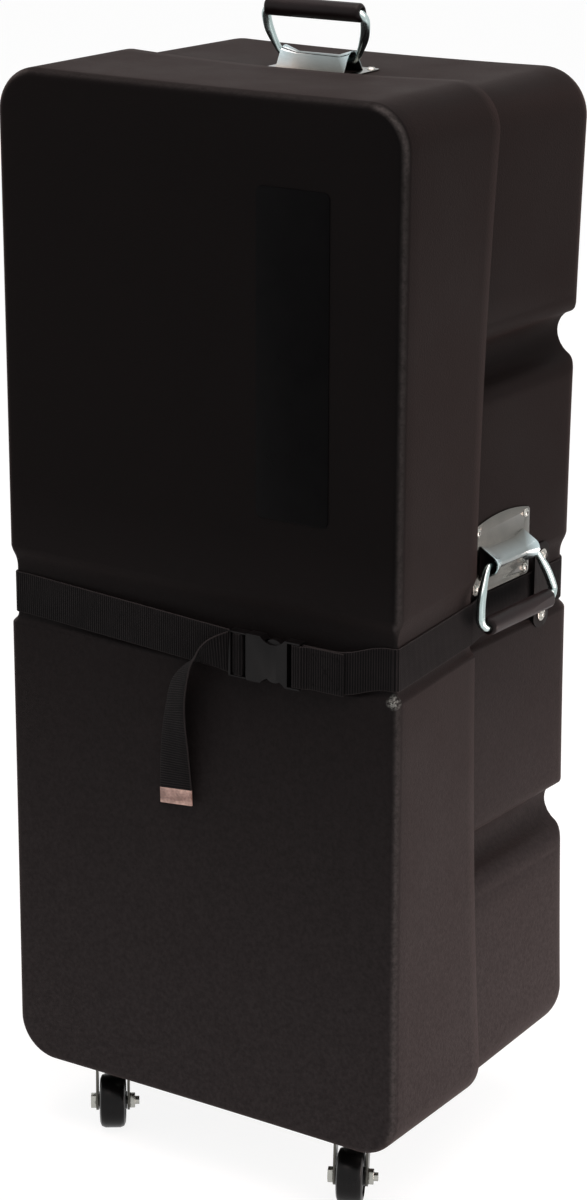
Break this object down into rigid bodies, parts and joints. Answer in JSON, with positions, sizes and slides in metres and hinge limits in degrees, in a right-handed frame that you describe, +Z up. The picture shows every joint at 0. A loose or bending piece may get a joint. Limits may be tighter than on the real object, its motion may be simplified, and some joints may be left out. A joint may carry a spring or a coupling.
{
  "type": "wheeled hardware case",
  "caption": "Tall moulded hardware case in two telescoping tubs, tied by a webbing strap with a side-release buckle, with drop handles and swivel casters.",
  "frame": {"origin": "on the floor under the centre of the whole case's bounding box", "axes": "+Z up, the front tub's flat face towards -Y, the side handle on +X"},
  "size_m": [0.4232, 0.3686, 1.0436],
  "materials": {
    "tub_plastic": "moulded, fine pebble grain, satin",
    "webbing": "woven polypropylene, ribbed",
    "webbing_tip": "heat-sealed end",
    "buckle_plastic": "moulded acetal, satin",
    "zinc_steel": "zinc plated",
    "grip_rubber": "smooth sleeve",
    "wheel_rubber": "moulded",
    "keeper_plastic": "moulded strip"
  },
  "bodies": {
    "rear_tub": {"rear_shell": "tub_plastic", "strap_rear": "webbing", "keeper_left": "keeper_plastic", "keeper_right": "keeper_plastic", "keeper_screws": "zinc_steel", "keeper_washers": "zinc_steel", "top_handle_plate": "zinc_steel", "top_handle_rivets": "zinc_steel", "side_handle_plate": "zinc_steel", "side_handle_rivets": "zinc_steel", "rear_left_caster_plate": "zinc_steel", "rear_right_caster_plate": "zinc_steel", "rear_caster_bolts": "zinc_steel"},
    "front_tub": {"front_shell": "tub_plastic", "strap_front_left": "webbing", "strap_front_right": "webbing", "strap_tail": "webbing", "strap_tip": "webbing_tip", "buckle_female": "buckle_plastic", "buckle_male": "buckle_plastic", "front_left_caster_plate": "zinc_steel", "front_right_caster_plate": "zinc_steel", "front_caster_bolts": "zinc_steel"},
    "tab_top": {"release_tab_top": "buckle_plastic"},
    "tab_bottom": {"release_tab_bottom": "buckle_plastic"},
    "top_handle": {"top_bail": "zinc_steel", "top_grip": "grip_rubber"},
    "side_handle": {"side_bail": "zinc_steel", "side_grip": "grip_rubber"},
    "front_left_swivel": {"front_left_fork": "zinc_steel", "front_left_axle_bolt": "zinc_steel", "front_left_axle_nut": "zinc_steel"},
    "front_left_roller": {"front_left_wheel": "wheel_rubber"},
    "front_right_swivel": {"front_right_fork": "zinc_steel", "front_right_axle_bolt": "zinc_steel", "front_right_axle_nut": "zinc_steel"},
    "front_right_roller": {"front_right_wheel": "wheel_rubber"},
    "rear_left_swivel": {"rear_left_fork": "zinc_steel", "rear_left_axle_bolt": "zinc_steel", "rear_left_axle_nut": "zinc_steel"},
    "rear_left_roller": {"rear_left_wheel": "wheel_rubber"},
    "rear_right_swivel": {"rear_right_fork": "zinc_steel", "rear_right_axle_bolt": "zinc_steel", "rear_right_axle_nut": "zinc_steel"},
    "rear_right_roller": {"rear_right_wheel": "wheel_rubber"}
  },
  "joints": [
    {"name": "front_tub_slide", "type": "slide", "parent": "rear_tub", "child": "front_tub", "axis": [0, -1, 0], "range_m": [0, 0.12]},
    {"name": "tab_top_press", "type": "slide", "parent": "front_tub", "child": "tab_top", "axis": [0, 0, -1], "range_m": [0, 0.003], "stiffness_N_per_m": 800, "springref_m": -0.0005},
    {"name": "tab_bottom_press", "type": "slide", "parent": "front_tub", "child": "tab_bottom", "axis": [0, 0, 1], "range_m": [0, 0.003], "stiffness_N_per_m": 800, "springref_m": -0.0005},
    {"name": "top_handle_hinge", "type": "hinge", "parent": "rear_tub", "child": "top_handle", "pos_m": [-0.00505, 0.04218, 0.99248], "axis": [1, 0, 0], "range_deg": [-97, 66]},
    {"name": "side_handle_hinge", "type": "hinge", "parent": "rear_tub", "child": "side_handle", "pos_m": [0.19317, 0.04895, 0.57297], "axis": [-0.0342, -0.9994, 0], "range_deg": [0, 160]},
    {"name": "front_left_swivel_turn", "type": "hinge", "parent": "front_tub", "child": "front_left_swivel", "pos_m": [-0.13905, -0.09868, 0.06], "axis": [0, 0, 1], "continuous": true},
    {"name": "front_left_wheel_spin", "type": "hinge", "parent": "front_left_swivel", "child": "front_left_roller", "pos_m": [-0.12787, -0.11465, 0.0254], "axis": [0.8192, 0.5736, 0], "continuous": true},
    {"name": "front_right_swivel_turn", "type": "hinge", "parent": "front_tub", "child": "front_right_swivel", "pos_m": [0.12895, -0.09868, 0.06], "axis": [0, 0, 1], "continuous": true},
    {"name": "front_right_wheel_spin", "type": "hinge", "parent": "front_right_swivel", "child": "front_right_roller", "pos_m": [0.1378, -0.11605, 0.0254], "axis": [0.891, 0.454, 0], "continuous": true},
    {"name": "rear_left_swivel_turn", "type": "hinge", "parent": "rear_tub", "child": "rear_left_swivel", "pos_m": [-0.08205, 0.12432, 0.06], "axis": [0, 0, 1], "continuous": true},
    {"name": "rear_left_wheel_spin", "type": "hinge", "parent": "rear_left_swivel", "child": "rear_left_roller", "pos_m": [-0.07172, 0.10778, 0.0254], "axis": [0.848, 0.5299, 0], "continuous": true},
    {"name": "rear_right_swivel_turn", "type": "hinge", "parent": "rear_tub", "child": "rear_right_swivel", "pos_m": [0.07195, 0.12432, 0.06], "axis": [0, 0, 1], "continuous": true},
    {"name": "rear_right_wheel_spin", "type": "hinge", "parent": "rear_right_swivel", "child": "rear_right_roller", "pos_m": [0.0817, 0.10743, 0.0254], "axis": [0.866, 0.5, 0], "continuous": true}
  ]
}
